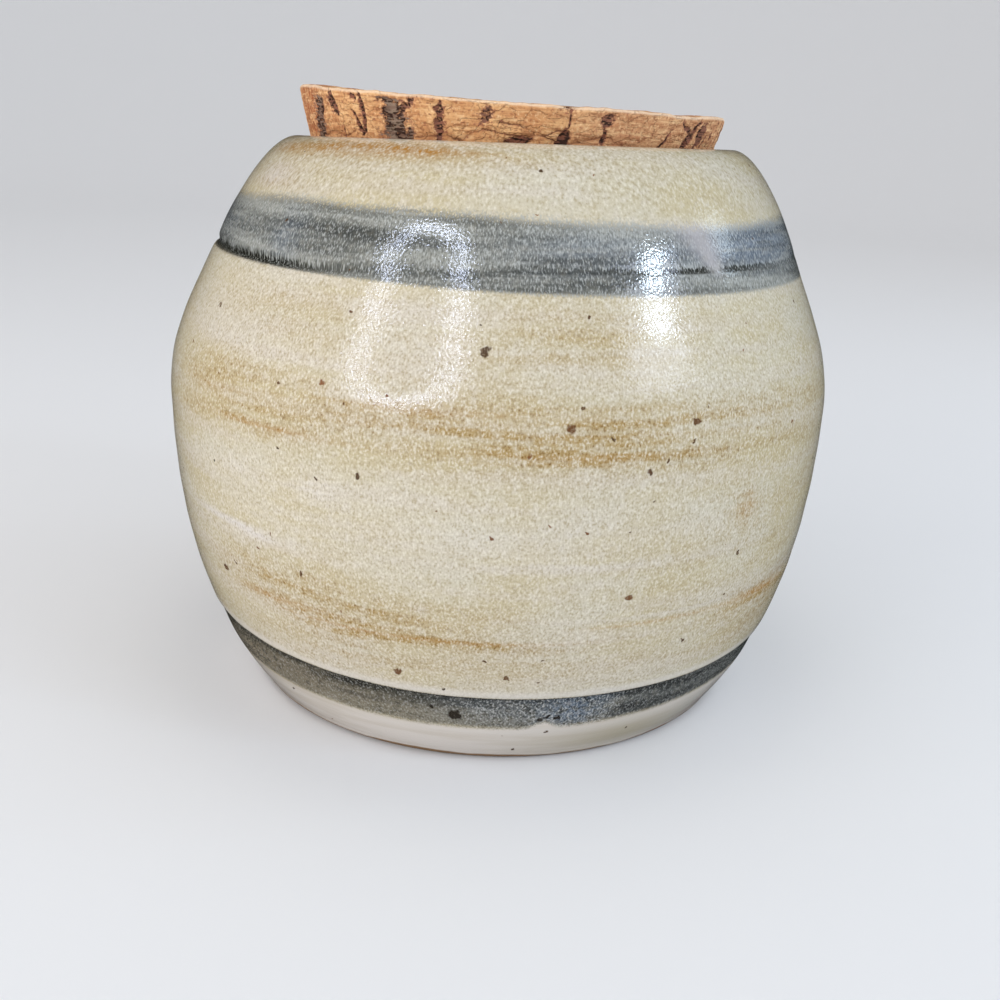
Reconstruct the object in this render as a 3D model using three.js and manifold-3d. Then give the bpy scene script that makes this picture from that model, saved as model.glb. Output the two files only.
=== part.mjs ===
// Stoneware canister: a squat hand-thrown jar, shut by a tapered cork stopper that sits a little crooked.
// Millimetres, +Z up. The origin is on the surface it stands on, below the middle of the belly.
import * as THREE from 'three';
import { mergeVertices } from 'three/addons/utils/BufferGeometryUtils.js';
import Module from 'manifold-3d';

// Jar wall: a foot that flares out to the belly, a sloping shoulder, and a rim that rolls in
const FOOT_RADIUS = 53.2;
const FOOT_FLARE_DEG = 53; // steepness of the wall where it leaves the foot
const FOOT_PULL = 19.7; // how far the wall keeps that direction
const FOOT_BEVEL = 1.2; // bare clay edge that is wiped back all round the base
const BELLY_RADIUS = 70;
const BELLY_HEIGHT = 63.5;
const BELLY_PULL_DOWN = 28; // long upright stretch below the widest ring
const BELLY_PULL_UP = 12; // shorter one above it
const SHOULDER_RADIUS = 59.3; // a ring half way up the slope
const SHOULDER_HEIGHT = 96;
const SHOULDER_SLOPE_DEG = 23; // how far the slope leans in from upright
const SHOULDER_PULL_DOWN = 14;
const SHOULDER_PULL_UP = 4.2;
const RIM_RADIUS = 44.7; // crest of the rim
const RIM_HEIGHT = 114;
const RIM_PULL = 5.8; // how far the wall stays level at the crest
const LIP_WIDTH = 3.4; // the rounded inner edge, from the crest to the mouth
const LIP_DEPTH = 3.2;

// The wall is not true to its axis: a potter's wheel leaves it bowed, with the rim out of level
const FOOT_LEAN = 0.4; // the foot's centre stands this far to +X of the belly's
const RIM_LEAN = 1.2; // and the rim's centre this far
const RIM_TILT = 0.011; // rise of the rim towards +X, per mm

// Turned marks in the wall: a groove in the shoulder band and a step over the foot band
const GROOVE_HEIGHT = 94.2;
const GROOVE_HALF_WIDTH = 1.4;
const GROOVE_DEPTH = 0.45;
const STEP_HEIGHT = 18.6;
const STEP_RISE = 0.7; // height over which the wall steps in
const STEP_FADE = 9; // height over which it comes back out below
const STEP_DEPTH = 0.5;

// Cork stopper: a tapered disc, its place given by the middle of its top face
const CORK_TOP_RADIUS = 43.4;
const CORK_TAPER_DEG = 14.9;
const CORK_THICKNESS = 26;
const CORK_ARRIS = 0.6; // worn edge round the top and the bottom
const CORK_TOP = new THREE.Vector3(0.5, 0, 121.2);
const CORK_TILT_RIGHT_DEG = 1.8;
const CORK_TILT_FORWARD_DEG = 0.4;
const CORK_CLEARANCE = 0.4; // between the stopper and the seat it is pressed into

// Fineness of the faceted solids
const SIDES = 64;
const LOWER_WALL_STEPS = 15;
const UPPER_WALL_STEPS = 10;
const RIM_STEPS = 8;
const LIP_STEPS = 5;

const wasm = await Module();
wasm.setup();

const belly = new THREE.Vector2(BELLY_RADIUS, BELLY_HEIGHT);
const shoulder = new THREE.Vector2(SHOULDER_RADIUS, SHOULDER_HEIGHT);

// A point some way from another, in a direction given by its steepness in the outline
function along(start, steepnessDeg, distance) {
  const steepness = THREE.MathUtils.degToRad(steepnessDeg);
  return new THREE.Vector2(Math.cos(steepness), Math.sin(steepness)).multiplyScalar(distance).add(start);
}

function lowerWall() {
  const foot = new THREE.Vector2(FOOT_RADIUS, 0);
  return new THREE.CubicBezierCurve(
    foot,
    along(foot, FOOT_FLARE_DEG, FOOT_PULL),
    along(belly, -90, BELLY_PULL_DOWN),
    belly,
  );
}

function upperWall() {
  return new THREE.CubicBezierCurve(
    belly,
    along(belly, 90, BELLY_PULL_UP),
    along(shoulder, SHOULDER_SLOPE_DEG - 90, SHOULDER_PULL_DOWN),
    shoulder,
  );
}

function rimWall() {
  const crest = new THREE.Vector2(RIM_RADIUS, RIM_HEIGHT);
  return new THREE.CubicBezierCurve(
    shoulder,
    along(shoulder, SHOULDER_SLOPE_DEG + 90, SHOULDER_PULL_UP),
    along(crest, 0, RIM_PULL),
    crest,
  );
}

// Place along a wall curve that is at a given height; every wall only ever rises
function atHeight(wall, height) {
  let low = 0;
  let high = 1;
  for (let halving = 0; halving < 40; halving += 1) {
    const middle = (low + high) / 2;
    if (wall.getPoint(middle).y < height) {
      low = middle;
    } else {
      high = middle;
    }
  }
  return low;
}

// How far the turned marks cut into the wall at a height
function markDepth(height) {
  const fromGroove = Math.abs(height - GROOVE_HEIGHT) / GROOVE_HALF_WIDTH;
  const groove = GROOVE_DEPTH * Math.max(0, 1 - fromGroove) ** 2;
  const steppedIn = THREE.MathUtils.smoothstep(STEP_HEIGHT - height, 0, STEP_RISE);
  const fadedOut = THREE.MathUtils.smoothstep(STEP_HEIGHT - height, STEP_RISE, STEP_FADE);
  return groove + STEP_DEPTH * steppedIn * (1 - fadedOut);
}

// Outline points up one wall: even steps, and the heights where a mark bends the wall
function wallPoints(wall, steps, markHeights) {
  const places = markHeights.map((height) => atHeight(wall, height));
  for (let step = 1; step <= steps; step += 1) {
    places.push(step / steps);
  }
  places.sort((a, b) => a - b);
  return places.map((place) => {
    const point = wall.getPoint(place);
    point.x -= markDepth(point.y);
    return point;
  });
}

// Rounded inner edge of the rim, a quarter of an ellipse from the crest down to the mouth
function lipPoints() {
  const points = [];
  for (let step = 1; step <= LIP_STEPS; step += 1) {
    const angle = (step / LIP_STEPS) * (Math.PI / 2);
    const inward = LIP_WIDTH * Math.sin(angle);
    const down = LIP_DEPTH * (1 - Math.cos(angle));
    points.push(new THREE.Vector2(RIM_RADIUS - inward, RIM_HEIGHT - down));
  }
  return points;
}

function jarOutline() {
  const stepMarks = [STEP_HEIGHT, STEP_HEIGHT - STEP_RISE / 2, STEP_HEIGHT - STEP_RISE];
  const grooveMarks = [-1, -0.5, 0, 0.5, 1].map((part) => GROOVE_HEIGHT + part * GROOVE_HALF_WIDTH);
  const lower = lowerWall();
  const bevelTop = lower.getPoint(atHeight(lower, FOOT_BEVEL));
  return [
    new THREE.Vector2(0, 0),
    new THREE.Vector2(FOOT_RADIUS - FOOT_BEVEL, 0),
    bevelTop,
    ...wallPoints(lower, LOWER_WALL_STEPS, stepMarks),
    ...wallPoints(upperWall(), UPPER_WALL_STEPS, grooveMarks),
    ...wallPoints(rimWall(), RIM_STEPS, []),
    ...lipPoints(),
    new THREE.Vector2(0, RIM_HEIGHT - LIP_DEPTH),
  ];
}

// Outline of the stopper, or of the seat round it when it is grown by a clearance
function corkOutline(clearance) {
  const taper = THREE.MathUtils.degToRad(CORK_TAPER_DEG);
  const top = CORK_TOP_RADIUS + clearance / Math.cos(taper);
  const depth = CORK_THICKNESS + clearance;
  const bottom = top - depth * Math.tan(taper);
  return [
    new THREE.Vector2(0, -depth),
    new THREE.Vector2(bottom - CORK_ARRIS, -depth),
    new THREE.Vector2(bottom + CORK_ARRIS * Math.tan(taper), CORK_ARRIS - depth),
    new THREE.Vector2(top - CORK_ARRIS * Math.tan(taper), -CORK_ARRIS),
    new THREE.Vector2(top - CORK_ARRIS, 0),
    new THREE.Vector2(0, 0),
  ];
}

function turned(outline) {
  return new THREE.LatheGeometry(outline, SIDES).rotateX(Math.PI / 2);
}

function bowAndTilt(geometry) {
  const position = geometry.attributes.position;
  const point = new THREE.Vector3();
  for (let index = 0; index < position.count; index += 1) {
    point.fromBufferAttribute(position, index);
    const above = Math.max(0, point.z - BELLY_HEIGHT) / (RIM_HEIGHT - BELLY_HEIGHT);
    const below = Math.max(0, BELLY_HEIGHT - point.z) / BELLY_HEIGHT;
    const rise = RIM_TILT * point.x * (point.z / RIM_HEIGHT) ** 2;
    point.x += RIM_LEAN * above ** 2 + FOOT_LEAN * below ** 2;
    point.z += rise;
    position.setXYZ(index, point.x, point.y, point.z);
  }
  return geometry;
}

// A closed solid for cutting: shared corners merged, and the slivers at the axis dropped
function toSolid(geometry) {
  const bare = geometry.clone();
  bare.deleteAttribute('normal');
  bare.deleteAttribute('uv');
  const merged = mergeVertices(bare);
  const corners = merged.index.array;
  const triangles = [];
  for (let start = 0; start < corners.length; start += 3) {
    const [a, b, c] = corners.slice(start, start + 3);
    if (a !== b && b !== c && c !== a) {
      triangles.push(a, b, c);
    }
  }
  const mesh = new wasm.Mesh({
    numProp: 3,
    vertProperties: new Float32Array(merged.attributes.position.array),
    triVerts: new Uint32Array(triangles),
  });
  return new wasm.Manifold(mesh);
}

function toGeometry(solid) {
  const mesh = solid.getMesh();
  const geometry = new THREE.BufferGeometry();
  geometry.setAttribute('position', new THREE.BufferAttribute(mesh.vertProperties, 3));
  geometry.setIndex(new THREE.BufferAttribute(mesh.triVerts, 1));
  geometry.computeVertexNormals();
  return geometry;
}

function placeLikeCork(mesh) {
  mesh.position.copy(CORK_TOP);
  mesh.rotation.x = THREE.MathUtils.degToRad(CORK_TILT_FORWARD_DEG);
  mesh.rotation.y = THREE.MathUtils.degToRad(CORK_TILT_RIGHT_DEG);
  mesh.updateMatrix();
  return mesh;
}

// The shut jar is solid below the seat, because nothing of its inside can be seen
function jar() {
  const seat = placeLikeCork(new THREE.Mesh(turned(corkOutline(CORK_CLEARANCE))));
  const cutter = toSolid(seat.geometry.applyMatrix4(seat.matrix));
  const body = toSolid(bowAndTilt(turned(jarOutline())));
  const glaze = new THREE.MeshStandardMaterial({ color: 0xd7cbab, roughness: 0.35, metalness: 0 });
  const mesh = new THREE.Mesh(toGeometry(body.subtract(cutter)), glaze);
  mesh.name = 'jar';
  return mesh;
}

function corkStopper() {
  const bark = new THREE.MeshStandardMaterial({ color: 0xbf8f5c, roughness: 0.9, metalness: 0 });
  const mesh = placeLikeCork(new THREE.Mesh(turned(corkOutline(0)), bark));
  mesh.name = 'cork_stopper';
  return mesh;
}

const canister = new THREE.Group();
canister.add(jar(), corkStopper());

export default canister;
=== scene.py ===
"""Looks of a stoneware canister: a squat hand-thrown jar with brushed bands, shut by a crooked cork stopper.

Sizes are in millimetres and become metres as each mesh is made. Azimuth is in degrees round the jar's
axis: 0 is the side that faces the camera, -Y, and it grows towards +X.
"""

import itertools
import math
from types import SimpleNamespace

import bpy
import numpy as np
from mathutils import Matrix, Vector


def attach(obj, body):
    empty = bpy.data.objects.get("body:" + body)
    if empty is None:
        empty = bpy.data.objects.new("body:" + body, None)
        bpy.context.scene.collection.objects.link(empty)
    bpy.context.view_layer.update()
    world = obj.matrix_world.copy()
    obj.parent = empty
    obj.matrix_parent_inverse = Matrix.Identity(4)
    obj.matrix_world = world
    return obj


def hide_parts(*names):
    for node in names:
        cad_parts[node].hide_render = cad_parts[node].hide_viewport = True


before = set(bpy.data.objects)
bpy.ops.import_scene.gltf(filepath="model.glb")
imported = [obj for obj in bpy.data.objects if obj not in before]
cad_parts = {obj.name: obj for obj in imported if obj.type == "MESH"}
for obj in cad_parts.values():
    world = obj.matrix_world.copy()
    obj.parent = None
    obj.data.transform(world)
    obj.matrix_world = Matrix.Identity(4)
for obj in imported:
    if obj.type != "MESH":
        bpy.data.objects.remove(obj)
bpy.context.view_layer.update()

METRES = 0.001

# Camera, fitted to the outline in the photograph
CAMERA_PLACE = (0, -238.6, 114.29)
CAMERA_PITCH = 0.3197
CAMERA_YAW = 0.0066
CAMERA_ROLL = 0.0457
SENSOR = 36.0
FOCAL_SHARE = 1.085  # focal length as a share of the sensor's width

# Lights: name, shape, the point they shine on, the direction they come from (azimuth and elevation), width,
# height, power and tint. The softboxes are mirrored in the glaze, and the ring lamp does nothing else.
LAMP_DISTANCE = 800
WARM = (1.0, 0.97, 0.92)
PLAIN = (0.88, 0.9, 1.0)
COOL = (0.7, 0.86, 1.0)
BLUE = (0.7, 0.78, 1.0)
SOFTBOXES = [
    ("ring_lamp", "ELLIPSE", (-14, -62, 86), (-35, 30.5), 470, 560, 12.0, BLUE),
    ("right_softbox", "RECTANGLE", (34, -50, 80), (59, 28), 340, 230, 0.58, BLUE),
    ("right_spot", "ELLIPSE", (34, -50, 96), (63, 33.5), 110, 60, 0.35, COOL),
    ("far_right_softbox", "RECTANGLE", (50, -30, 95), (99, 29), 110, 160, 0.12, COOL),
]
# Fill lights, which are kept out of the reflections
FILLS = [
    ("front_fill", "RECTANGLE", (0, -50, 60), (-34, 18), 700, 400, 1.35, PLAIN),
    ("left_fill", "RECTANGLE", (-50, -30, 60), (-58, 14), 800, 340, 2.4, WARM),
    ("right_fill", "RECTANGLE", (40, -30, 80), (80, 15), 900, 400, 2.0, COOL),
]
RING_INNER = (0.88, 0.95)  # where the ring lamp's dark middle ends, as a share of its size
SKY_COLOUR = (0.97, 0.98, 1.0, 1.0)
SKY_STRENGTH = 0.73

# Jar wall, as in the solid: three curves from the foot to the crest of the rim
FOOT = (53.2, 0)
FOOT_FLARE_DEG = 53
FOOT_PULL = 19.7
FOOT_BEVEL = 1.2
BELLY = (70, 63.5)
BELLY_PULL_DOWN = 28
BELLY_PULL_UP = 12
SHOULDER = (59.3, 96)
SHOULDER_SLOPE_DEG = 23
SHOULDER_PULL_DOWN = 14
SHOULDER_PULL_UP = 4.2
CREST = (44.7, 114)
RIM_PULL = 5.8
LIP_WIDTH = 3.4
LIP_DEPTH = 3.2
FOOT_LEAN = 0.4
RIM_LEAN = 1.2
RIM_TILT = 0.011

# Cork stopper, as in the solid
CORK_RADIUS = 43.4
CORK_TAPER = math.tan(math.radians(14.9))
CORK_THICKNESS = 26
CORK_ARRIS = 0.6
CORK_TOP = (0.5, 0, 121.2)
CORK_TILT_RIGHT = math.radians(1.8)
CORK_TILT_FORWARD = math.radians(0.4)
CORK_CLEARANCE = 0.25  # the mouth is a little closer round it than in the solid
SEAT_GAP = 0.4  # between the stopper and the floor of its seat

# Fineness of the meshes
CURVE_POINTS = 400
JAR_SIDES = 336
JAR_ROW = 0.52  # height of a ring of the wall
JAR_POLE = 2  # radius of the ring next to the middle of the base
BASE_RINGS = 20
BEVEL_STEPS = 4
LIP_STEPS = 8
SEAT_RINGS = 8
CORK_SIDES = 720
CORK_ROW = 0.25  # height of a ring of the side
CORK_RING = 0.75  # width of a ring of the top
CORK_POLE = 3
CORK_SEEN = 12.5  # depth down to which the stopper has fine rows
CORK_HIDDEN_ROWS = 11  # coarse rows below that
CORK_UNDER_RINGS = 14
CORK_ARRIS_STEPS = 3

# Potter's marks, in relief
RIDGE_PITCH = 9.0
RIDGE_DEPTH = 0.021
RIDGE_PATCH = 38  # size of the patches in which they come and go
UNEVEN_FROM = (3, 14)  # heights over which the wall's unevenness sets in
UNEVEN_TO = (102, 111)  # and over which it ends
WALL_WAVES = [(0.18, 55, 2), (0.03, 13, 3)]  # depth, size and seed
GLAZE_WAVES = [(0.018, 4.5, 4)]
BASE_RIPPLE = 0.05
BASE_RIPPLE_PITCH = 5
LINE_START_DEG = -6  # the incised line starts here and winds down once round the shoulder
LINE_TURN_DEG = 340
LINE_HEIGHT = 94.5
LINE_DROP = 0.7
LINE_HOOK = 1.3  # extra drop at its end
LINE_HOOK_POWER = 8  # the higher, the later the hook sets in
LINE_HALF_WIDTH = 0.75
LINE_DEPTH = (0.02, 0.9)  # at its start and at its end
LINE_FADE_IN = (0, 0.02)  # shares of its length
LINE_FADE_OUT = (0.95, 1.03)
LINE_FAINT = 0.4  # how dark it starts
LINE_DARKENS = (0.02, 0.13)  # shares of its length over which it gets fully dark
LINE_WORN = (0.21, 0.05, 0.7)  # where the glaze covers it, half length of that, and how much it covers
LINE_WIDENS = (0.1, 0.85)  # shares of its length over which its dark fringe widens
LINE_FRINGE = (0.6, 0.9)  # half width of the fringe before and after
SCORE = (38, 34.3, 24, 0.5, 0.09)  # a faint turning line: azimuth, height, half width, half height, depth
STEP_RISE = 0.7
STEP_FADE = 9
STEP_DEPTH = 0.5

# Edges of the brushed bands: mean height, lean and where it is highest, slow wave and where it is highest
SHOULDER_TOP_EDGE = (102.7, 0.4, 88, 1.3, -48)
SHOULDER_LOW_EDGE = (91.9, 1.5, -121, 0.3, 97)
FOOT_TOP_EDGE = (19.2, 0.8, -118, 0.75, 90)
FOOT_LOW_EDGE = (11.2, 1.6, 115, 0.9, -70)
FOOT_NOTCH = (10.5, 2.0, 1.6)  # azimuth, half width and height of a nick in the lower edge

# Where iron in the clay has blushed through the glaze, two of them also painted shade: azimuth, height, half
# width, half height, strength
BLUSHES_AND_SHADE = [
    (-46, 72, 16, 5.5, 0.65),
    (-44, 65.5, 18, 2.2, 0.6),
    (-20, 70.5, 20, 4.5, 0.65),
    (7, 70.5, 16, 3.4, 1.0),
    (9, 65.5, 18, 3.2, 0.95),
    (30, 71.5, 16, 2.4, 0.6),
    (38, 65.5, 18, 2.4, 0.45),
    (55, 71.5, 12, 2.4, 0.35),
    (41, 54, 2.5, 3.5, 0.6),
    (-35, 37, 15, 4.5, 0.8),
    (-25, 31, 16, 2.4, 0.8),
    (-6, 30.5, 17, 1.6, 0.9),
    (-12, 35, 18, 3.2, 0.65),
    (-22, 25, 24, 3.5, 0.45),
    (10, 26, 16, 3.5, 0.3),
    (46, 33.2, 12, 1.6, 0.9),
    (62, 31, 12, 4.5, 0.7),
    (46, 27, 16, 5.0, 0.5),
    (-48, 112.6, 24, 2.0, 0.6),
    (-22, 112.4, 20, 1.5, 0.5),
    (2, 112, 14, 1.5, 0.4),
    (-54, 106, 13, 3.0, 0.4),
    (-38, 109, 14, 2.5, 0.25),
    (-36, 85, 15, 5.0, 0.4),
    # The next two are painted shade as well as blushes: the front middle and the low right side get less
    # light
    (12, 84, 11, 6.0, 0.5),
    (28, 5, 18, 4.0, 0.7),
    (-50, 15, 32, 5.0, 0.9),
    (52, 62, 26, 14.0, 0.25),
    (44, 42, 24, 10.0, 0.25),
    (-8, 80, 16, 6.0, 0.25),
]
# Rust-coloured lines and strokes, where the iron shows most
RUSTS = [
    (-58, 112.0, 9, 0.9, 0.5),
    (-37, 112.4, 11, 0.7, 1.0),
    (-22, 112.3, 13, 0.7, 1.0),
    (-32, 111.3, 26, 1.0, 0.35),
    (0, 72.2, 22, 0.5, 0.25),
    (12, 65.6, 13, 0.6, 0.25),
    (-35, 65.8, 11, 0.5, 0.5),
    (-46, 71, 9, 1.0, 0.15),
    (-15, 30.7, 20, 0.35, 0.6),
    (-36, 32.5, 9, 0.7, 0.5),
    (50, 33.5, 11, 0.8, 0.8),
    (26, 33.7, 14, 0.3, 0.4),
    (41, 54, 2, 2.5, 0.4),
]
# Pale, thicker glaze, and painted highlights along the crests of throwing ridges
PALES = [
    (-10, 36.8, 1.2, 0.9, 0.9),
    (-46, 45.5, 10, 0.8, 1.0),
    (-55, 107, 8, 2.4, 1.0),
    (-44, 57, 12, 3.0, 0.4),
    (-30, 50, 20, 6.0, 0.3),
    (10, 52, 24, 7.0, 0.35),
    # The next two are painted highlights along throwing ridges
    (36, 35.1, 22, 0.5, 0.7),
    (20, 46, 30, 1.0, 0.35),
    (-35, 22, 12, 2.0, 0.3),
    (-52, 85, 16, 5.0, 0.4),
    (-40, 79, 20, 2.2, 0.5),
    (-11, 82, 11, 8.0, 0.3),
    (-10, 26, 60, 9.0, 0.25),
    (-38, 44.4, 5, 1.0, 0.7),
    (-25, 56.8, 4, 2.2, 0.7),
]
# Darker strokes of the brush in the shoulder band, one of them also painted shade
SHADES = [
    (-31, 99.0, 15, 1.5, 0.6),
    (-32, 96.8, 13, 2.6, 0.55),
    (-12, 98.0, 14, 0.9, 0.4),
    # Made wider and darker as painted shade, where the front of the band gets less light
    (8, 96.5, 14, 1.8, 0.55),
    (8, 92.6, 18, 0.7, 0.4),
    (30, 99.0, 10, 1.4, 0.4),
    (56, 97.4, 10, 0.5, 0.8),
    (58, 99.8, 8, 0.4, 0.7),
]
# Bluer glaze where the brushed pigment is thin
COOLS = [
    (16, 14, 7, 5, 0.9),
    (2, 14, 10, 4, 0.35),
    (50, 98, 26, 4, 1.0),
    (12, 97, 12, 3, 0.5),
    (-41, 97.5, 4, 4, 0.6),
]
SEAM_DEG = 38.6  # where the brush was set down in the shoulder band and a pale seam is left
SEAM_SLANT = -0.5  # degrees to the right per millimetre of height
SEAM_HALF_WIDTHS = (0.5, 5.4)  # at the foot and at the head of the seam
OVERLAP_DEG = 24  # where a second, darker stroke starts in the foot band
OVERLAP_SLANT = 0.75  # degrees to the right per millimetre of height
OVERLAP_HEIGHT = 14  # height at which it starts there
OVERLAP_EDGE = (-1, 1.5)  # degrees over which it sets in
OVERLAP_END_DEG = 150
OVERLAP_FADE_DEG = 30
# The unseen side has the same spots, spread further apart and shuffled by so many degrees and millimetres
BACK_SPREAD = 1.3
BACK_SHUFFLE_DEG = 12
BACK_SHUFFLE = 1.5

# Iron specks that stand out, and dark pools in the foot band: azimuth, height, radius, how rusty
SPECKS = [
    (-2.2, 82.1, 0.85, 0.2),
    (5.1, 109.8, 0.55, 0.2),
    (10.1, 70.5, 0.75, 0.5),
    (29.1, 70.6, 0.75, 0.4),
    (20.8, 39.5, 0.75, 0.6),
    (-14.3, 22.8, 0.75, 0.5),
    (-7, 19.8, 0.4, 0.1),
    (-19, 60.4, 0.5, 0.2),
    (-29.5, 39.6, 0.5, 0.3),
    (4.6, 65.9, 0.6, 0.8),
    (16.1, 68.9, 0.3, 0.2),
    (21.8, 62.7, 0.5, 0.3),
    (-49, 34, 0.8, 0.4),
    (-45, 36.6, 0.4, 0.3),
    (-53, 84, 0.45, 0.3),
    (33, 28, 0.55, 0.3),
    (41, 44.5, 0.45, 0.2),
    (3.1, 23.2, 0.55, 0.4),
    (8.4, 27.5, 0.4, 0.2),
    (-0.4, 26.9, 0.3, 0.3),
    (11.7, 73.5, 0.45, 0.3),
    (28.8, 67.3, 0.35, 0.3),
    (24.6, 64.4, 0.4, 0.3),
    (31.3, 73.1, 0.35, 0.3),
    (40, 35.8, 0.35, 0.3),
    (23, 57.6, 0.35, 0.2),
    (13.3, 52.6, 0.35, 0.7),
    (19.6, 52.1, 0.25, 0.2),
    (-33, 73.7, 0.4, 0.4),
    (-30.5, 71.8, 0.3, 0.3),
    (-25.5, 75.1, 0.6, 0.9),
    (-21.5, 72.3, 0.4, 0.4),
    (-25.9, 58.7, 0.35, 0.2),
    (-32.4, 62.4, 0.3, 0.2),
    (8.4, 22.4, 0.3, 0.3),
    (11.4, 8.6, 0.4, 0.2),
    (28.8, 6.2, 0.3, 0.2),
    (5.7, 3.2, 0.3, 0.2),
    (-5.3, 13, 1.4, 0),
    (9.5, 12.3, 0.55, 0),
    (11.2, 12.8, 0.6, 0),
    (12.9, 12.5, 0.5, 0),
    (-9.5, 14.6, 0.7, 0),
]
MORE_SPECKS = 230  # smaller ones, spread over the whole wall
SPECK_SIZES = (0.14, 0.42)
SPECK_HEIGHTS = (2, 112)
SPECK_SPACING = 3.5

# Lenticels in the cork's side: azimuth at the top and at the bottom, depth at the top and at the bottom,
# half width, how dark, how grey
LENTICELS = [
    (-58.5, -62.5, 1.6, 10, 2.3, 0.72, 0.75),
    (-57, -57.5, 2.4, 5.0, 0.8, 0.85, 0.1),
    (-52.0, -50.6, 0.3, 4.6, 1.3, 0.75, 0.05),
    (-49.8, -49.2, 2.4, 4.8, 0.5, 1.0, 0),
    (-47.8, -47.4, 6.0, 9.6, 0.3, 0.85, 0),
    (-42.8, -41.6, 0.5, 1.9, 0.7, 0.9, 0),
    (-43.0, -39.4, 3.4, 8.0, 0.6, 0.95, 0),
    (-39.6, -38.8, 0.5, 7.4, 0.45, 0.85, 0),
    (-30.8, -28.0, 1.0, 9.6, 3.1, 0.78, 1.0),
    (-29.0, -26.6, 5.6, 9.4, 1.6, 0.95, 0.7),
    (-24.2, -28, 0.5, 3.8, 1.4, 0.7, 0.15),
    (-17.0, -17.8, 0.7, 8.8, 0.95, 0.75, 0.05),
    (-5.8, -6.6, 0.7, 4.4, 1.0, 0.62, 0.2),
    (3.8, -1.2, 5.8, 8.8, 2.2, 0.95, 0),
    (13.4, 11.0, 4.2, 8.0, 0.9, 1.0, 0),
    (13.2, 13.1, 0.4, 4.6, 0.22, 0.7, 0),
    (23.2, 22.6, 0.8, 3.4, 1.3, 0.78, 0.1),
    (22.9, 22.4, 3.0, 6.2, 0.4, 0.95, 0),
    (43.0, 38.0, 2.6, 7.4, 0.4, 0.95, 0),
    (46.5, 51.5, 1.0, 3.4, 0.8, 0.75, 0.1),
    (54.5, 48.0, 0.8, 7.0, 1.0, 0.85, 0),
    (57.5, 55.0, 1.2, 6.5, 1.1, 0.85, 0.1),
    (60.5, 58.5, 3.0, 6.0, 0.4, 0.8, 0),
    (64.5, 61.5, 1.6, 6.0, 0.3, 0.75, 0),
    (68, 65, 0.9, 6.0, 0.3, 0.75, 0),
    (71.5, 69, 0.6, 6.0, 0.28, 0.7, 0),
]
# The sawn top is not level all round: azimuth, and how far the edge stands above or below it
CORK_EDGE = [
    (-80, 0.6), (-60, 0.6), (-54, 0.1), (-35, -0.1), (-7, -0.25), (2, -0.3), (22, -0.1), (38, 0.2),
    (43, -0.2), (50, 0), (58, 0.4), (66, 0.6), (78, 0.8), (90, 0), (270, 0), (280, 0.6),
]
EDGE_DEPTH = 3.0  # depth down to which the side follows that edge
EDGE_LIFT = 0.15  # most that its waves stand up
CHIP_DEG = 12.8  # a chip out of the top edge
CHIP_HALF_DEG = 1.5
CHIP_DEPTH = 1.9
CHIP_REACH = 0.9  # how far it reaches in
LENTICEL_REACH = 0.75
CRACK_REACH = 0.18
CRACK_HALF_WIDTH = 0.3
HIDDEN_LENTICELS = 26  # more of them round the back
HIDDEN_AZIMUTHS = (76, 284)
HIDDEN_HALF_WIDTHS = [0.3, 0.45, 0.6, 0.9, 1.6]
TOP_PORES = 120
PORE_SIZES = [0.5, 0.7, 0.9, 1.2, 1.9]
PORE_SHARES = [0.35, 0.3, 0.2, 0.1, 0.05]  # how many of the pores have each size
# Cracks that wander along the growth layers: azimuth and depth
CRACKS = [
    [(-24, 7.2), (-20, 6.9), (-15, 6.7), (-11.4, 7.2), (-9, 5.4)]
    + [(-4.8, 5.2), (0, 5.7), (7.2, 5.2), (12.6, 4.4)],
    [(14, 6.7), (19, 5.4), (23, 4.6), (27, 5.9), (33, 6.5), (37, 6.9)],
    [(-3, 3.6), (2, 3.9), (7, 5.4), (11, 6.3)],
    [(-58, 8.2), (-52, 7.4), (-46, 7.9), (-43, 7.2)],
    [(90, 5), (110, 6.2), (125, 4.5), (150, 5.8), (170, 5)],
    [(200, 6), (220, 4.2), (240, 5.4), (262, 6.5)],
]
NO_CRACK = 9.0  # stands for no crack near

BACK_RANDOM = np.random.default_rng(7)
SPECK_SEED = 12
HIDDEN_SEED = 21
PORE_SEED = 33
LATTICE_VALUES = 4096
LATTICE_PRIMES = (73856093, 19349663, 83492791)


# Small tools for points and outlines
def along(start, steepness_deg, distance):
    steepness = math.radians(steepness_deg)
    return (start[0] + distance * math.cos(steepness), start[1] + distance * math.sin(steepness))


def bezier(start, first, second, end):
    t = np.linspace(0, 1, CURVE_POINTS)[:, None]
    a, b, c, d = (np.array(p, float) for p in (start, first, second, end))
    return (1 - t) ** 3 * a + 3 * (1 - t) ** 2 * t * b + 3 * (1 - t) * t**2 * c + t**3 * d


def evenly(outline, step):
    """Points along an outline, about one step apart."""
    reach = np.concatenate([[0], np.cumsum(np.linalg.norm(np.diff(outline, axis=0), axis=1))])
    at = np.linspace(0, reach[-1], int(round(reach[-1] / step)) + 1)
    return np.stack([np.interp(at, reach, outline[:, k]) for k in (0, 1)], axis=1)


def smoothstep(low, high, value):
    t = np.clip((value - low) / (high - low), 0, 1)
    return t * t * (3 - 2 * t)


def bell(value):
    """1 at 0, falling smoothly to nothing on both sides."""
    return np.exp(-(value**2))


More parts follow.
